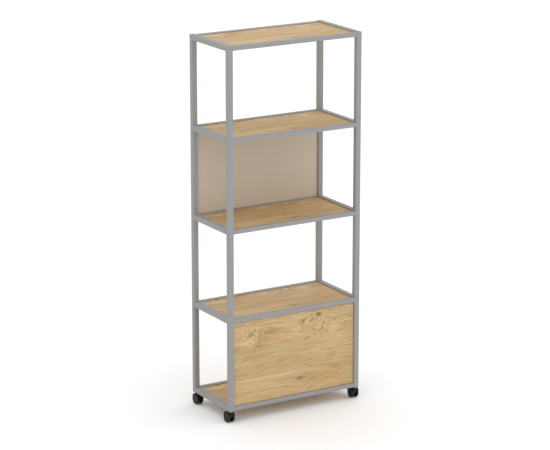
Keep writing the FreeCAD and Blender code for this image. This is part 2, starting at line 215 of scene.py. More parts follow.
# Marks of the oak: how many to the metre along and across the grain, and their share in the tone
Grain = namedtuple("Grain", "along across detail roughness share", defaults=(2.0, 0.5, 1.0))
TREMBLE = Grain(17.0, 50.0, 3.0)
WANDER = Grain(2.2, 5.0, 1.0)
FIGURE = Grain(3.0, 9.0)
WARM_CLOUDS = Grain(4.0, 22.0)
STREAKS = Grain(5.0, 190.0, 4.0, 0.65, 0.66)
CLOUDS = Grain(3.4, 34.0, 3.0, 0.6, 0.60)
DASHES = Grain(17.0, 150.0, 3.0, 0.6, 0.40)
FIBRES = Grain(50.0, 1500.0, 3.0, 0.6, 0.24)
FLECKS = Grain(55.0, 120.0, 4.0, 0.7, 1.7)
PORES = Grain(130.0, 2600.0, 1.0, 0.5, -0.20)
GRAIN_LINES = Noise(115.0, 4.0, 0.65)
GRAIN_LINE_SPAN = (-0.12, 0.15)
GRAIN_LINE_SHARE = (0.12, 0.55)
PORE_SPAN = (0.10, 0.20)
PORE_LINE_SPAN = (0.35, 0.60)
PORE_LINE_SHARE = (0.75, 0.15)
PORE_SINK = -0.5
WARM_SPAN = (0.0, 0.24)
WARM_SHARE = (0.0, 0.6)
FIBRE_SPAN = (-0.2, 0.2)
OAK_ROUGHNESS = (0.62, 0.50)
OAK_RELIEF = Relief(0.00010, 0.4)
CALM_HEIGHTS = (0.30, 0.36)    # the grain is calmer below the first than above the second
CALM_SHARES = (0.72, 1.05)

# How the oak's grain moves near burls and knots
PLAIN_UNREST = 0.12
BURL_UNREST = 1.0
BURL_REACH_ALONG = 2.4         # how far that unrest reaches, in sizes of the burl
BURL_REACH_ACROSS = 2.0
BURL_CALM = (1.0, 0.5)         # share of the grain lines on plain wood and in a burl
TREMBLE_ALONG = 0.045
TREMBLE_ACROSS = 0.020
PLAIN_SWAY = 0.024
BURL_SWAY = 0.050
KNOT_PARTING = 0.8
EYE_FADE = 0.1                 # of the pale eye round a knot
EYE_SHARE = 0.08
HEART_FADE = 1.0
HEART_EDGE = 1.4               # the more, the harder the heart's edge
RING_FADE = 0.3
RING_WAVE = 9.0                # radians from a knot's middle to its edge
RING_SHARE = 0.05

# Spots of the oak: middle and half size along X and up Z, as they lie on the front panel, and depth
Spot = namedtuple("Spot", "along across long high depth")

# Knots: the depth is how dark the heart is
KNOTS = [
    Spot(0.132, 0.447, 0.013, 0.011, 0.75),
    Spot(-0.211, 0.423, 0.010, 0.006, 0.55),
    Spot(-0.235, 0.400, 0.016, 0.009, 0.50),
    Spot(0.029, 0.154, 0.020, 0.013, 0.45),
    Spot(-0.190, 0.344, 0.020, 0.0035, 0.45),
    Spot(0.070, 0.343, 0.022, 0.0035, 0.45),
    Spot(-0.045, 0.347, 0.015, 0.003, 0.35),
    Spot(0.245, 0.352, 0.020, 0.0035, 0.40),
    Spot(0.105, 0.405, 0.045, 0.016, 0.0),
    Spot(0.092, 0.428, 0.005, 0.008, 0.40),
    Spot(0.112, 0.418, 0.010, 0.003, 0.35),
    Spot(0.120, 0.358, 0.012, 0.004, 0.35),
]

# Burls and leaning grain: the depth is the turn of the grain in the middle, in radians
BURLS = [
    Spot(0.082, 0.428, 0.040, 0.032, 1.7),
    Spot(0.128, 0.398, 0.036, 0.030, -1.6),
    Spot(0.190, 0.405, 0.030, 0.022, 1.1),
    Spot(-0.228, 0.405, 0.040, 0.026, -0.9),
]
LEANING_GRAIN = [
    Spot(-0.040, 0.430, 0.150, 0.050, 0.12),
    Spot(0.210, 0.155, 0.070, 0.030, 0.25),
]

# Pale and dark patches: the depth is added to the tone
PALE_PATCHES = [
    Spot(-0.246, 0.368, 0.034, 0.024, 0.16),
    Spot(0.020, 0.390, 0.060, 0.028, 0.16),
    Spot(0.020, 0.455, 0.050, 0.014, 0.10),
    Spot(0.212, 0.370, 0.030, 0.022, 0.18),
    Spot(0.240, 0.420, 0.050, 0.030, 0.08),
    Spot(0.205, 0.305, 0.060, 0.050, 0.07),
    Spot(0.090, 0.280, 0.060, 0.015, 0.07),
    Spot(-0.140, 0.188, 0.170, 0.010, 0.16),
    Spot(-0.180, 0.155, 0.120, 0.022, 0.08),
    Spot(-0.140, 0.102, 0.170, 0.018, 0.09),
    Spot(0.204, 0.106, 0.050, 0.014, 0.12),
]
DARK_PATCHES = [
    Spot(-0.140, 0.402, 0.060, 0.026, -0.11),
    Spot(-0.180, 0.360, 0.045, 0.036, -0.10),
    Spot(-0.265, 0.318, 0.085, 0.022, -0.14),
    Spot(0.090, 0.425, 0.060, 0.025, -0.06),
    Spot(0.060, 0.142, 0.080, 0.020, -0.06),
    Spot(0.230, 0.178, 0.060, 0.018, -0.13),
    Spot(0.275, 0.384, 0.030, 0.020, -0.10),
]

# Warm patches: the depth is the share of the warm colour
WARM_PATCHES = [
    Spot(0.200, 0.140, 0.085, 0.036, 0.9),
    Spot(-0.100, 0.110, 0.150, 0.012, 0.7),
    Spot(-0.160, 0.428, 0.050, 0.016, 0.8),
    Spot(-0.080, 0.375, 0.120, 0.018, 0.7),
]


def middle(node):
    """Middle of a node's box."""
    low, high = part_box(node)
    return [(start + end) / 2 for start, end in zip(low, high)]


class NodeTree:
    """A shader that is built node by node: each call adds a node and gives back its output."""

    def __init__(self, tree):
        self.tree = tree

    def node(self, kind, *feeds, **settings):
        made = self.tree.nodes.new(kind)
        for name, value in settings.items():
            setattr(made, name, value)
        for socket, value in feeds:
            self.feed(made.inputs[socket], value)
        return made

    def feed(self, socket, value):
        """Links a socket to another node's output, or sets its number or colour."""
        if isinstance(value, bpy.types.NodeSocket):
            self.tree.links.new(value, socket)
        elif socket.type == "RGBA":
            socket.default_value = (*value, 1.0)
        else:
            socket.default_value = value

    def math(self, operation, *values):
        return self.node("ShaderNodeMath", *enumerate(values), operation=operation).outputs[0]

    def vector(self, operation, first, second, output="Vector"):
        made = self.node("ShaderNodeVectorMath", (0, first), (1, second), operation=operation)
        return made.outputs[output]

    def axes(self, place):
        split = self.node("ShaderNodeSeparateXYZ", (0, place))
        return split.outputs[0], split.outputs[1], split.outputs[2]

    def joined(self, x, y, z):
        return self.node("ShaderNodeCombineXYZ", (0, x), (1, y), (2, z)).outputs[0]

    def seen(self):
        """1 for what the camera sees, also in a mirror or through glass, and 0 for other light."""
        rays = self.node("ShaderNodeLightPath").outputs
        seen = self.math("MAXIMUM", rays["Is Camera Ray"], rays["Is Glossy Ray"])
        return self.math("MAXIMUM", seen, rays["Is Transmission Ray"])

    def mix_numbers(self, share, first, second):
        """A number between two, which the Mix node takes in its sockets 2 and 3."""
        return self.node("ShaderNodeMix", (0, share), (2, first), (3, second)).outputs[0]

    def mix_colours(self, share, first, second):
        """A colour between two, which the Mix node takes in its sockets 6 and 7."""
        feeds = ((0, share), (6, first), (7, second))
        return self.node("ShaderNodeMix", *feeds, data_type="RGBA").outputs[2]

    def sum_up(self, total, *parts):
        """A total with each part added by its share."""
        for value, share in parts:
            total = self.math("MULTIPLY_ADD", value, share, total)
        return total


class Finish(NodeTree):
    """A material with its own shader."""

    def __init__(self, name, **shader_values):
        self.material = bpy.data.materials.new(name)
        self.material.use_nodes = True
        super().__init__(self.material.node_tree)
        self.shader = self.tree.nodes["Principled BSDF"]
        for socket, value in shader_values.items():
            self.shader.inputs[socket.replace("_", " ")].default_value = value
        self.place = self.node("ShaderNodeTexCoord").outputs["Object"]

    def noise(self, marks, place=None):
        """Noise on the piece itself, or at another place."""
        made = self.node(
            "ShaderNodeTexNoise",
            ("Vector", self.place if place is None else place),
            ("Scale", marks.scale),
            ("Detail", marks.detail),
            ("Roughness", marks.roughness),
        )
        return made.outputs[0]

    def range(self, value, span, to=(0.0, 1.0)):
        """A value that goes from one number to another while the given one crosses a span."""
        return self.node("ShaderNodeMapRange", *enumerate((value, *span, *to))).outputs[0]

    def colour(self, value):
        self.feed(self.shader.inputs["Base Color"], value)

    def roughness(self, value):
        self.feed(self.shader.inputs["Roughness"], value)

    def bump(self, height, relief):
        feeds = (("Height", height), ("Distance", relief.depth), ("Strength", relief.strength))
        self.feed(self.shader.inputs["Normal"], self.node("ShaderNodeBump", *feeds).outputs[0])


class OakDecor(Finish):
    """Light oak decor with its grain along X, on a board that lies flat or stands upright."""

    def __init__(self, name, board, upright, lift):
        super().__init__(name, Specular_IOR_Level=OAK_GLOSS)
        axis = 2 if upright else 1
        axes = self.axes(self.place)
        low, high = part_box(board)
        self.edge = self.edge_distance(
            (axes[0], low[0], high[0]),
            (axes[axis], low[axis], high[axis]),
        )
        self.along = axes[0]
        self.height = self.math("ADD", axes[axis], lift)
        self.flow = self.height
        upper = self.math("GREATER_THAN", self.height, PLANK_LINE)
        self.plank = self.math("MULTIPLY", upper, PLANK_CHANGE)
        self.unrest = self.near_burls()
        self.curl_grain()
        self.part_round_knots()

    def edge_distance(self, *spans):
        """Distance from the nearest edge of a board, given each axis with its two ends."""
        nearest = 1.0
        for place, low, high in spans:
            nearest = self.math("MINIMUM", nearest, self.math("SUBTRACT", place, low))
            nearest = self.math("MINIMUM", nearest, self.math("SUBTRACT", high, place))
        return nearest

    def grain(self, marks):
        """Noise about zero, drawn out along the grain."""
        stretched = self.joined(
            self.math("MULTIPLY", self.along, marks.along),
            self.math("MULTIPLY", self.flow, marks.across),
            self.plank,
        )
        noise = self.noise(Noise(1.0, marks.detail, marks.roughness), stretched)
        return self.math("SUBTRACT", noise, 0.5)

    def grain_lines(self):
        """Noise across the grain only, so it is the same all along a line."""
        made = self.node(
            "ShaderNodeTexNoise",
            ("W", self.math("MULTIPLY_ADD", self.flow, GRAIN_LINES.scale, self.plank)),
            ("Scale", 1.0),
            ("Detail", GRAIN_LINES.detail),
            ("Roughness", GRAIN_LINES.roughness),
            noise_dimensions="1D",
        )
        return made.outputs[0]

    def reach(self, place, spot):
        """Square of the distance from a spot's middle, 1 at its edge."""
        gap = self.vector("SUBTRACT", place, (spot.along, spot.across, 0.0))
        part = self.vector("DIVIDE", gap, (spot.long, spot.high, 1.0))
        return self.vector("DOT_PRODUCT", part, part, output="Value")

    def fade(self, reach, speed):
        """1 in the middle of a spot, fading to nothing."""
        return self.math("EXPONENT", self.math("MULTIPLY", reach, -speed))

    def soft_spot(self, place, spot):
        """A spot's depth in its middle, fading to nothing."""
        return self.math("MULTIPLY", self.fade(self.reach(place, spot), 1.0), spot.depth)

    def twirl(self, place, spot):
        """Turns the grain about a spot, most in its middle."""
        made = self.node(
            "ShaderNodeVectorRotate",
            ("Vector", place),
            ("Center", (spot.along, spot.across, 0.0)),
            ("Angle", self.soft_spot(place, spot)),
            rotation_type="Z_AXIS",
        )
        return made.outputs[0]

    def near_burls(self):
        """How restless the grain is: a little on plain wood, most in the burls."""
        place = self.joined(self.along, self.height, 0.0)
        unrest = PLAIN_UNREST
        for burl in BURLS:
            round_burl = burl._replace(
                long=BURL_REACH_ALONG * burl.long,
                high=BURL_REACH_ACROSS * burl.high,
                depth=BURL_UNREST,
            )
            unrest = self.math("MAXIMUM", unrest, self.soft_spot(place, round_burl))
        return unrest

    def curl_grain(self):
        """The grain runs straight, trembles near the burls and curls in them."""
        tremble = self.math("MULTIPLY", self.grain(TREMBLE), self.unrest)
        self.rough_place = self.joined(
            self.math("MULTIPLY_ADD", tremble, TREMBLE_ALONG, self.along),
            self.math("MULTIPLY_ADD", tremble, TREMBLE_ACROSS, self.height),
            0.0,
        )
        curled = self.rough_place
        for spot in BURLS + LEANING_GRAIN:
            curled = self.twirl(curled, spot)
        self.along, self.flow = self.axes(curled)[:2]
        sway = self.math("MULTIPLY_ADD", self.unrest, BURL_SWAY, PLAIN_SWAY)
        self.flow = self.math("MULTIPLY_ADD", self.grain(WANDER), sway, self.flow)

    def part_round_knots(self):
        """Grain lines part round each knot, which has rings and a dark heart."""
        self.eyes = 0.0
        self.hearts = 0.0
        self.rings = 0.0
        for knot in KNOTS:
            reach = self.reach(self.rough_place, knot)
            eye = self.fade(reach, EYE_FADE)
            parting = self.math("SUBTRACT", knot.across, self.flow)
            parting = self.math("MULTIPLY", parting, KNOT_PARTING)
            self.flow = self.math("MULTIPLY_ADD", eye, parting, self.flow)
            self.eyes = self.math("MAXIMUM", self.eyes, self.math("MULTIPLY", eye, knot.depth))
            heart = self.fade(self.math("POWER", reach, HEART_EDGE), HEART_FADE)
            heart = self.math("MULTIPLY", heart, knot.depth)
            self.hearts = self.math("MAXIMUM", self.hearts, heart)
            wave = self.math("MULTIPLY", self.math("SQRT", reach), RING_WAVE)
            ring = self.math("MULTIPLY", self.fade(reach, RING_FADE), knot.depth)
            self.rings = self.math("MULTIPLY_ADD", self.math("SINE", wave), ring, self.rings)

    def tone(self, lightness, fibres, pores):
        """How light the wood is, from its lines, marks, knots and patches."""
        bands = self.grain_lines()
        figured = self.range(self.grain(FIGURE), GRAIN_LINE_SPAN, GRAIN_LINE_SHARE)
        lines = self.sum_up(
            0.0,
            (self.math("SUBTRACT", bands, 0.5), figured),
            (self.grain(STREAKS), STREAKS.share),
            (self.grain(CLOUDS), CLOUDS.share),
        )
        calm_in_burls = self.range(self.unrest, (PLAIN_UNREST, BURL_UNREST), BURL_CALM)
        calm_below = self.range(self.height, CALM_HEIGHTS, CALM_SHARES)
        porous = self.range(bands, PORE_LINE_SPAN, PORE_LINE_SHARE)
        tone = self.sum_up(
            lightness,
            (lines, self.math("MULTIPLY", calm_in_burls, calm_below)),
            (self.grain(DASHES), DASHES.share),
            (fibres, FIBRES.share),
            (self.eyes, EYE_SHARE),
            (self.rings, RING_SHARE),
            (self.math("MULTIPLY", self.grain(FLECKS), self.unrest), FLECKS.share),
            (self.math("MULTIPLY", pores, porous), PORES.share),
        )
        for patch in PALE_PATCHES + DARK_PATCHES:
            tone = self.math("ADD", tone, self.soft_spot(self.rough_place, patch))
        return tone

    def tones(self, tone):
        """Colour of the wood from dark to pale."""
        made = self.node("ShaderNodeValToRGB", (0, tone))
        bar = made.color_ramp.elements
        while len(bar) < len(OAK_TONES):
            bar.new(0.5)
        for mark, (position, colour) in zip(bar, OAK_TONES):
            mark.position = position
            mark.color = (*colour, 1.0)
        return made.outputs[0]

    def warmth(self):
        """Colour that the wood is multiplied by: white, or warm in clouds and patches."""
        warm = self.range(self.grain(WARM_CLOUDS), WARM_SPAN, WARM_SHARE)
        for patch in WARM_PATCHES:
            warm = self.math("MAXIMUM", warm, self.soft_spot(self.rough_place, patch))
        return self.mix_colours(warm, WHITE, OAK_WARMTH)

    def seams(self):
        """The line between the planks and the seam of the edge band."""
        plank_line = self.math("COMPARE", self.height, PLANK_LINE, PLANK_LINE_HALF)
        band_seam = self.math("COMPARE", self.edge, EDGE_BAND, EDGE_BAND_SEAM_HALF)
        return self.math("MAXIMUM", plank_line, band_seam)


def oak_decor(name, board, upright, lightness, lift=0.0):
    """Oak decor, warmer in places, brown in its knots and dark in its seams."""
    oak = OakDecor(name, board, upright, lift)
    fibres = oak.grain(FIBRES)
    pores = oak.range(oak.grain(PORES), PORE_SPAN)
    wood = oak.tones(oak.tone(lightness, fibres, pores))
    wood = oak.vector("MULTIPLY", wood, oak.warmth())
    wood = oak.mix_colours(oak.hearts, wood, KNOT_BROWN)
    wood = oak.mix_colours(oak.math("MULTIPLY", oak.seams(), SEAM_DARKNESS), wood, OAK_DARK)
    oak.colour(wood)
    oak.roughness(oak.range(fibres, FIBRE_SPAN, OAK_ROUGHNESS))
    oak.bump(oak.math("MULTIPLY_ADD", pores, PORE_SINK, fibres), OAK_RELIEF)
    return oak.material


def shades(colour, contrast):
    """A darker and a lighter shade of a colour."""
    dark = tuple((1.0 - contrast) * value for value in colour)
    light = tuple((1.0 + contrast) * value for value in colour)
    return dark, light


def powder_coat(name, grey):
    """Satin powder coat: faint clouding, a fine speckle and orange peel."""
    finish = Finish(name, Specular_IOR_Level=COAT_GLOSS)
    clouds = finish.noise(COAT_CLOUDS)
    speckle = finish.noise(COAT_SPECKLE)
    share = finish.sum_up(0.0, (clouds, COAT_CLOUD_SHARE), (speckle, COAT_SPECKLE_SHARE))
    finish.colour(finish.mix_colours(share, *shades(grey, COAT_CONTRAST)))
    finish.roughness(finish.range(clouds, NOISE_SPAN, COAT_ROUGHNESS))
    finish.bump(finish.noise(COAT_PEEL), COAT_RELIEF)
    return finish.material


def taupe_laminate(name):
    """Plain laminate with a fine pearl grain."""
    finish = Finish(name, Specular_IOR_Level=LAMINATE_GLOSS)
    clouds = finish.noise(LAMINATE_CLOUDS)
    pearl = finish.noise(LAMINATE_PEARL)
    share = finish.sum_up(0.0, (clouds, LAMINATE_CLOUD_SHARE), (pearl, LAMINATE_PEARL_SHARE))
    finish.colour(finish.mix_colours(share, *shades(TAUPE, LAMINATE_CONTRAST)))
    finish.roughness(finish.range(pearl, NOISE_SPAN, LAMINATE_ROUGHNESS))
    finish.bump(pearl, LAMINATE_RELIEF)
    return finish.material


def moulded_black(name):
    """Black moulded plastic with a fine spark-eroded texture."""
    finish = Finish(name, Specular_IOR_Level=CASTER_GLOSS)
    dusty = finish.range(finish.noise(HOUSING_CLOUDS), HOUSING_DUST_SPAN)
    texture = finish.noise(CASTER_TEXTURE)
    finish.colour(finish.mix_colours(dusty, CASTER_BLACK, CASTER_DUST))
    finish.roughness(finish.range(texture, NOISE_SPAN, CASTER_ROUGHNESS))
    finish.bump(texture, CASTER_RELIEF)
    return finish.material


def wheel_black(name):
    """The casters' black plastic, dull and a little dusty on the tread."""
    finish = Finish(name, Specular_IOR_Level=CASTER_GLOSS)
    axle = middle("caster_back_right_wheel_right")
    y, z = finish.axes(finish.place)[1:]
    off_y = finish.math("SUBTRACT", finish.math("ABSOLUTE", y), axle[1])
    off_z = finish.math("SUBTRACT", z, axle[2])
    from_axle = finish.math("SQRT", finish.sum_up(0.0, (off_z, off_z), (off_y, off_y)))
    tread_skin = (WHEEL_RADIUS - TREAD_DUST_STARTS, WHEEL_RADIUS - TREAD_DUST_FULL)
    tread = finish.range(from_axle, tread_skin)
    dusty = finish.range(finish.noise(TREAD_CLOUDS), TREAD_DUST_SPAN, TREAD_DUST_SHARE)
    worn = finish.math("MULTIPLY", tread, dusty)
    texture = finish.noise(CASTER_TEXTURE)
    dull = finish.range(texture, NOISE_SPAN, CASTER_ROUGHNESS)
    finish.colour(finish.mix_colours(worn, CASTER_BLACK, TREAD_DUST))
    finish.roughness(finish.math("MULTIPLY_ADD", worn, TREAD_DUST_ROUGHNESS, dull))
    finish.bump(texture, CASTER_RELIEF)
    return finish.material


def plated_steel(name, colour, metallic):
    """Plated steel with fine scratches."""
    finish = Finish(name, Metallic=metallic)
    scratches = finish.noise(ZINC_SCRATCHES)
    finish.colour(finish.mix_colours(scratches, *shades(colour, ZINC_CONTRAST)))
    finish.roughness(finish.range(scratches, NOISE_SPAN, ZINC_ROUGHNESS))
    return finish.material


def coat(material, *names):
    """Gives the named frame nodes one material."""
    for name in names:
        slots = nodes[name].data.materials
        slots.clear()
        slots.append(material)


def coat_frame(grey):
    tubes = ("post_", "side_rail", "front_rail", "back_rail")
    coat(grey, *(name for name in nodes if name.startswith(tubes)))
    coat(grey, "rail_spigots", "shelf_tabs", "panel_tabs")


def coat_boards():
    shelf_oak = oak_decor(
        "oak_decor_shelves",
        "shelf_1",
        upright=False,
        lightness=SHELF_LIGHTNESS,
        lift=SHELF_DECOR_LIFT,
    )
    panel_oak = oak_decor(
        "oak_decor_panel",
        "front_panel",
        upright=True,
        lightness=PANEL_LIGHTNESS,
    )
    coat(shelf_oak, *(f"shelf_{level}" for level in LEVELS))
    coat(panel_oak, "front_panel")
    coat(taupe_laminate("taupe_laminate"), "back_panel")


def coat_casters():
    black = moulded_black("black_caster_plastic")
    dark = plated_steel("black_zinc", BLACK_ZINC, BLACK_ZINC_METALLIC)
    for corner in CORNERS:
        caster = f"caster_{corner}"
        coat(black, f"{caster}_housing")
        coat(dark, f"{caster}_axle", f"{caster}_stem")
    coat(dark, "stem_inserts", "stem_clips")


# Ways of working on a mesh

def take(piece):
    """Makes one piece the only selected and active one."""
    bpy.ops.object.select_all(action="DESELECT")
    piece.select_set(True)
    bpy.context.view_layer.objects.active = piece


@contextmanager
def editing(piece, kind):
    """Opens a piece for editing its faces or edges, with nothing selected."""
    take(piece)
    bpy.ops.object.mode_set(mode="EDIT")
    bpy.ops.mesh.select_mode(type=kind)
    bpy.ops.mesh.select_all(action="DESELECT")
    yield piece
    bpy.ops.object.mode_set(mode="OBJECT")


def pick_end(piece, up):
    """Selects the flat faces at the upper or lower end of a piece that is being edited."""
    bpy.ops.mesh.select_all(action="DESELECT")
    mesh = bmesh.from_edit_mesh(piece.data)
    heights = [vertex.co.z for vertex in mesh.verts]
    end = max(heights) if up else min(heights)
    for face in mesh.faces:
        face.select_set(all(abs(vertex.co.z - end) < SAME_HEIGHT for vertex in face.verts))
    bmesh.update_edit_mesh(piece.data)


def pick_rings(piece, *rings):
    """Selects the round edges at each given radius and height about the Z axis."""
    bpy.ops.mesh.select_all(action="DESELECT")
    mesh = bmesh.from_edit_mesh(piece.data)
    for edge in mesh.edges:
        ends = [(vertex.co.xy.length, vertex.co.z) for vertex in edge.verts]
        for ring in rings:
            if all(math.dist(end, ring) < ON_RING for end in ends):
                edge.select_set(True)
    bmesh.update_edit_mesh(piece.data)


def draw_in(share):
    """Scales what is selected towards the Z axis."""
    bpy.ops.transform.resize(value=(share, share, 1.0), center_override=(0, 0, 0))


def push(depth, taper=1.0):
    """Extrudes what is selected along Z and draws it in."""
    bpy.ops.mesh.extrude_region_move(TRANSFORM_OT_translate={"value": (0, 0, depth)})
    draw_in(taper)


def round_bar(name, radius, low, high, sides):
    """A round bar along Z between two heights."""
    bpy.ops.object.select_all(action="DESELECT")
    half_way = (0, 0, (low + high) / 2)
    bpy.ops.mesh.primitive_cylinder_add(
        vertices=sides, radius=radius, depth=high - low, location=half_way,
    )
    bpy.ops.object.transform_apply(location=True)
    bar = bpy.context.object
    bar.name = name
    return bar


def plain_bar(name, size, centre, turn=0.0):
    """A square bar of a size, with its middle at a place, turned about the Z axis."""
    bpy.ops.object.select_all(action="DESELECT")
    bpy.ops.mesh.primitive_cube_add(size=1.0)
    bar = bpy.context.object
    bar.name = name
    place = Matrix.Rotation(turn, 4, "Z") @ Matrix.Translation(centre)
    bar.data.transform(place @ Matrix.Diagonal((*size, 1.0)))
    return bar


def combine(piece, tool, operation):
    """Cuts a tool out of a piece, or joins it on, and removes the tool."""
    take(piece)
    step = piece.modifiers.new(operation.lower(), "BOOLEAN")
    step.operation = operation
    step.object = tool
    step.solver = "EXACT"
    bpy.ops.object.modifier_apply(modifier=step.name)
    bpy.data.objects.remove(tool)


def smooth(piece):
    take(piece)
    bpy.ops.object.shade_smooth_by_angle(angle=SMOOTH_ANGLE)


def copy_at(master, name, place):
    """A copy of a master with a mesh of its own, moved in its mesh."""
    copy = bpy.data.objects.new(name, master.data.copy())
    copy.data.transform(place)
    bpy.context.scene.collection.objects.link(copy)
    return copy


def set_out(master, name, places):
    """One piece from copies of a master at the given places. The master goes."""
    copies = [copy_at(master, name, place) for place in places]
    take(copies[0])
    for copy in copies:
        copy.select_set(True)
    bpy.ops.object.join()
    bpy.data.objects.remove(master)
    copies[0].name = name
    return copies[0]


def fit(piece, material, body, slot, *replaced):
    """Gives a piece its finish and ties it to a body of the frame."""
    piece.data.materials.clear()
    piece.data.materials.append(material)
    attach(piece, body)
    if replaced:
        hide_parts(*replaced)


# Tabs, which the screws go through and the welds hold

def shelf_tab_points(reach):
    """Points on the undersides of the boards' tabs, at a reach from the side rail."""
    points = []
    for level in LEVELS:
        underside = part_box(f"side_rail_right_{level}")[0][2]
        for side in SIDES:
            for end in SIDES:
                tab_y = end * (HALF_DEPTH - SHELF_TAB_INSET)
                points.append((side * (INNER_X - reach), tab_y, underside))
    return points


def panel_tab_points(reach):
    """Points on the backs of the panels' tabs, at a reach from the post."""
    points = []
    for panel in PANELS:
        low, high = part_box(panel)
        for side in SIDES:
            for height in (low[2] + PANEL_TAB_INSET, high[2] - PANEL_TAB_INSET):
                points.append((side * (INNER_X - reach), high[1] + TAB_THICKNESS, height))
    return points


# Screws

def make_screw_blank(name, screw):
    """A screw that points up, with the underside of its rounded head at the origin."""
    blank = round_bar(name, screw.head_radius, -screw.head_height, 0.0, SCREW_SIDES)
    with editing(blank, "FACE"):
        pick_end(blank, up=True)
        bpy.ops.mesh.inset(thickness=screw.head_radius - screw.shank_radius)
        push(screw.length - screw.tip)
        push(screw.tip, max(SCREW_POINT, 1 - screw.tip / screw.shank_radius))
    with editing(blank, "EDGE"):
        pick_rings(blank, (screw.head_radius, -screw.head_height))
        rounding = HEAD_ROUNDING * screw.head_height
        bpy.ops.mesh.bevel(offset=rounding, segments=HEAD_ROUND_STEPS, affect="EDGES")
    return blank


def make_cross_screw(name, screw):
    """A wood screw with a cross recess in its head."""
    cross = make_screw_blank(name, screw)
    arm_size = (CROSS_LENGTH, CROSS_WIDTH, 2 * CROSS_DEPTH)
    for turn in (0.0, math.pi / 2):
        arm = plain_bar("cross_arm", arm_size, (0, 0, -screw.head_height), turn)
        with editing(arm, "FACE"):
            pick_end(arm, up=True)
            draw_in(CROSS_TAPER)
        combine(cross, arm, "DIFFERENCE")
    smooth(cross)
    return cross


def make_socket_screw(name, screw):
    """A rail screw with a hexagon socket in its head."""
    socket = make_screw_blank(name, screw)
    low = -screw.head_height - SOCKET_DEPTH
    high = -screw.head_height + SOCKET_DEPTH
    key = round_bar("socket_key", SOCKET_RADIUS, low, high, SOCKET_SIDES)
    with editing(key, "FACE"):
        pick_end(key, up=True)
        bpy.ops.mesh.inset(thickness=SOCKET_FLOOR_INSET)
        bpy.ops.transform.translate(value=(0, 0, SOCKET_FLOOR_CONE))
    combine(socket, key, "DIFFERENCE")
    smooth(socket)
    return socket


def rail_screw_points():
    """Points on the undersides of the long rails, near both ends."""
    points = []
    for level in LEVELS:
        for side in SIDES:
            for rail in (f"front_rail_{level}", f"back_rail_{level}"):
                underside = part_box(rail)[0][2]
                points.append((side * (INNER_X - RAIL_SCREW_REACH), middle(rail)[1], underside))
    return points


def turned_places(points, facing=Matrix.Identity(4)):
    """Places for screws: each is turned about its own axis by another angle."""
    return [
        Matrix.Translation(point) @ facing @ Matrix.Rotation(number * GOLDEN_TURN, 4, "Z")
        for number, point in enumerate(points)
    ]


def add_screws():
    zinc = plated_steel("bright_zinc", BRIGHT_ZINC, BRIGHT_ZINC_METALLIC)
    pointing_forward = Matrix.Rotation(math.pi / 2, 4, "X")

    rail_places = turned_places(rail_screw_points())
    rail_screw = make_socket_screw("rail_screw", RAIL_SCREW)
    rail_screws = set_out(rail_screw, "socket_rail_screws", rail_places)
    fit(rail_screws, zinc, "frame", "zinc_screw", "rail_screws")

    shelf_places = turned_places(shelf_tab_points(SHELF_SCREW_REACH))
    shelf_screw = make_cross_screw("shelf_screw", SHELF_SCREW)
    shelf_screws = set_out(shelf_screw, "cross_shelf_screws", shelf_places)
    fit(shelf_screws, zinc, "frame", "zinc_screw", "shelf_screws")

    panel_places = turned_places(panel_tab_points(PANEL_SCREW_REACH), pointing_forward)
    panel_screw = make_cross_screw("panel_screw", PANEL_SCREW)
    panel_screws = set_out(panel_screw, "cross_panel_screws", panel_places)
    fit(panel_screws, zinc, "frame", "zinc_screw", "panel_screws")


# Welds

def make_weld(name, length):
    """A weld bead along Z about the origin, with each ring fuller or thinner than the last."""
    start = -length / 2
    bead = round_bar(name, WELD_RADIUS, start, start + WELD_STEP, WELD_SIDES)
    fullness = 1.0
    with editing(bead, "FACE"):
        pick_end(bead, up=True)
        for ring in range(1, round(length / WELD_STEP)):
            fuller = 1.0 + sum(share * math.sin(pace * ring) for share, pace in WELD_SWELLS)
            push(WELD_STEP, fuller / fullness)
            fullness = fuller
        for up in (True, False):
            pick_end(bead, up)
            push(WELD_STEP / 2 if up else -WELD_STEP / 2, WELD_END)
    smooth(bead)
    return bead


def rail_weld_points():
    """Points above and below the side rails' ends, where a post goes on past the rail."""
    points = []
    for level in LEVELS:
        rail = f"side_rail_right_{level}"
        low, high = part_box(rail)
        for side in SIDES:
            for end in SIDES:
                for height in (low[2], high[2]):
                    if POST_FOOT + WELD_CLEARANCE < height < POST_TOP - WELD_CLEARANCE:
                        points.append((side * middle(rail)[0], end * high[1], height))
    return points


def add_welds(grey):
    """Beads where the side rails meet the posts and where the tabs meet the rails and posts."""
    along_x = Matrix.Rotation(math.pi / 2, 4, "Y")
    along_y = Matrix.Rotation(math.pi / 2, 4, "X")

    rail_places = [Matrix.Translation(point) @ along_x for point in rail_weld_points()]
    rail_welds = set_out(make_weld("rail_weld", RAIL_WELD_LENGTH), "side_rail_welds", rail_places)
    fit(rail_welds, grey, "frame", "frame_steel")

    tab_places = [Matrix.Translation(point) @ along_y for point in shelf_tab_points(0.0)]
    tab_welds = set_out(make_weld("tab_weld", SHELF_TAB_WELD_LENGTH), "shelf_tab_welds", tab_places)
    fit(tab_welds, grey, "frame", "frame_steel")

    panel_places = [Matrix.Translation(point) for point in panel_tab_points(0.0)]
    panel_weld = make_weld("panel_tab_weld", PANEL_TAB_WELD_LENGTH)
    panel_welds = set_out(panel_weld, "panel_tab_welds", panel_places)
    fit(panel_welds, grey, "frame", "frame_steel")


# Wheels

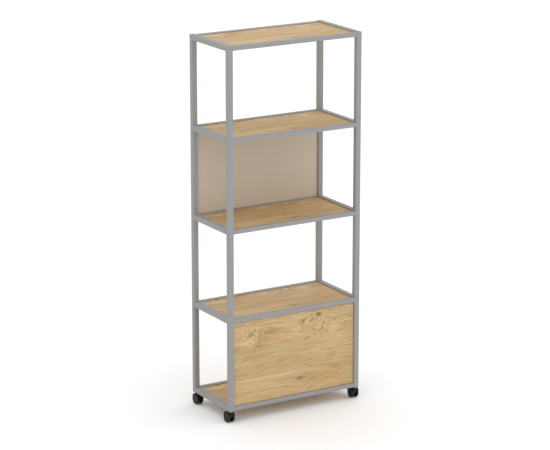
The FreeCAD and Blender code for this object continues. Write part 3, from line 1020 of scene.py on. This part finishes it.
def dish_wheel(wheel):
    """Sinks the outer face round a raised cap with a lip."""
    with editing(wheel, "FACE"):
        pick_end(wheel, up=True)
        bpy.ops.mesh.inset(thickness=WHEEL_RIM)
        push(-WHEEL_DISH, DISH_FLOOR / DISH_MOUTH)
        bpy.ops.mesh.inset(thickness=DISH_FLOOR - WHEEL_CAP_RADIUS)
        push(WHEEL_DISH, CAP_TOP / WHEEL_CAP_RADIUS)
        bpy.ops.mesh.inset(thickness=WHEEL_CAP_LIP)
        push(-WHEEL_CAP_SINK, WHEEL_CAP_DRAFT)


def hollow_wheel(wheel):
    """Leaves a rim and a bored hub on the inner face."""
    with editing(wheel, "FACE"):
        pick_end(wheel, up=False)
        bpy.ops.mesh.inset(thickness=WHEEL_WALL)
        push(WHEEL_CAVITY)
        bpy.ops.mesh.inset(thickness=RIM_INSIDE - WHEEL_HUB_RADIUS)
        push(-WHEEL_CAVITY)
        bpy.ops.mesh.inset(thickness=WHEEL_HUB_RADIUS - WHEEL_BORE)
        push(WHEEL_BORE_DEPTH)


def soften_wheel(wheel):
    """Rounds the tread's edges and breaks the others."""
    with editing(wheel, "EDGE"):
        pick_rings(wheel, (WHEEL_RADIUS, 0.0), (WHEEL_RADIUS, WHEEL_WIDTH))
        bpy.ops.mesh.bevel(
            offset=WHEEL_TREAD_EDGE, segments=WHEEL_TREAD_EDGE_STEPS, affect="EDGES",
        )
        pick_rings(
            wheel,
            (DISH_MOUTH, WHEEL_WIDTH),
            (DISH_FLOOR, WHEEL_WIDTH - WHEEL_DISH),
            (WHEEL_CAP_RADIUS, WHEEL_WIDTH - WHEEL_DISH),
            (CAP_TOP, WHEEL_WIDTH),
            (CAP_TOP - WHEEL_CAP_LIP, WHEEL_WIDTH),
            (RIM_INSIDE, 0.0),
            (WHEEL_HUB_RADIUS, 0.0),
        )
        bpy.ops.mesh.bevel(
            offset=WHEEL_SOFT_EDGE, segments=WHEEL_SOFT_EDGE_STEPS, affect="EDGES",
        )


def rib_wheel(wheel):
    """Ribs from the hub to the rim, a little lower than both."""
    length = RIM_INSIDE - WHEEL_HUB_RADIUS + WHEEL_RIB
    height = WHEEL_CAVITY - WHEEL_RIB / 2
    centre = (
        (RIM_INSIDE + WHEEL_HUB_RADIUS) / 2,
        0.0,
        WHEEL_CAVITY - height / 2 + WHEEL_RIB / 4,
    )
    for number in range(WHEEL_RIB_COUNT):
        turn = 2 * math.pi * number / WHEEL_RIB_COUNT
        rib = plain_bar("rib", (length, WHEEL_RIB, height), centre, turn)
        combine(wheel, rib, "UNION")


def make_wheel():
    """A wheel along Z, with its hollow ribbed inside at zero and its dished face outward."""
    wheel = round_bar("wheel", WHEEL_RADIUS, 0.0, WHEEL_WIDTH, WHEEL_SIDES)
    dish_wheel(wheel)
    hollow_wheel(wheel)
    soften_wheel(wheel)
    rib_wheel(wheel)
    smooth(wheel)
    return wheel


def add_wheels():
    black = wheel_black("black_wheel_plastic")
    master = make_wheel()
    for corner in CORNERS:
        for hand, outward in HANDS.items():
            node = f"caster_{corner}_wheel_{hand}"
            low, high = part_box(node)
            inner_face = low[0] if outward > 0 else high[0]
            axle = Matrix.Translation((inner_face, *middle(node)[1:]))
            place = axle @ Matrix.Rotation(outward * math.pi / 2, 4, "Y")
            wheel = copy_at(master, f"ribbed_wheel_{corner}_{hand}", place)
            fit(wheel, black, node, "caster_plastic", node)
    bpy.data.objects.remove(master)


# Floor, light and camera

def lay_floor():
    bpy.ops.object.select_all(action="DESELECT")
    bpy.ops.mesh.primitive_plane_add(size=FLOOR_SIZE, location=(0, 0, 0))
    floor = bpy.context.object
    floor.name = "floor"
    finish = Finish("white_floor", Roughness=1.0, Specular_IOR_Level=0.0)
    finish.colour(finish.mix_colours(finish.seen(), FLOOR_LIT, FLOOR_SEEN))
    floor.data.materials.append(finish.material)


def light_studio():
    """White all round, with more light from low on the right than from low on the left."""
    world = bpy.data.worlds.new("white_studio")
    world.use_nodes = True
    bpy.context.scene.world = world
    studio = NodeTree(world.node_tree)
    background = world.node_tree.nodes["Background"]
    studio.feed(background.inputs["Color"], WHITE)
    way = studio.axes(studio.node("ShaderNodeTexCoord").outputs["Generated"])
    right = way[0]
    above_floor = studio.math("MAXIMUM", way[2], 0.0)
    low_down = studio.math("POWER", studio.math("SUBTRACT", 1.0, above_floor), LIGHT_LOW_DOWN)
    from_right = studio.math("MULTIPLY", right, low_down)
    light = studio.math("MULTIPLY_ADD", from_right, LIGHT_FROM_RIGHT, 1.0)
    studio.feed(background.inputs["Strength"], studio.mix_numbers(studio.seen(), light, 1.0))


def place_camera():
    camera = bpy.data.cameras.new("photo_camera")
    camera.sensor_width = CAMERA_SENSOR
    camera.lens = CAMERA_LENS
    camera.clip_end = CAMERA_REACH
    holder = bpy.data.objects.new("photo_camera", camera)
    bpy.context.scene.collection.objects.link(holder)
    holder.location = CAMERA_PLACE
    holder.rotation_mode = "QUATERNION"
    holder.rotation_quaternion = (CAMERA_AIM - CAMERA_PLACE).to_track_quat("-Z", "Y")
    bpy.context.scene.camera = holder


grey_coat = powder_coat("grey_powder_coat", FRAME_GREY)
coat_frame(grey_coat)
add_welds(grey_coat)
coat_boards()
coat_casters()
add_screws()
add_wheels()
lay_floor()
light_studio()
place_camera()
bpy.context.scene.view_settings.view_transform = "Standard"
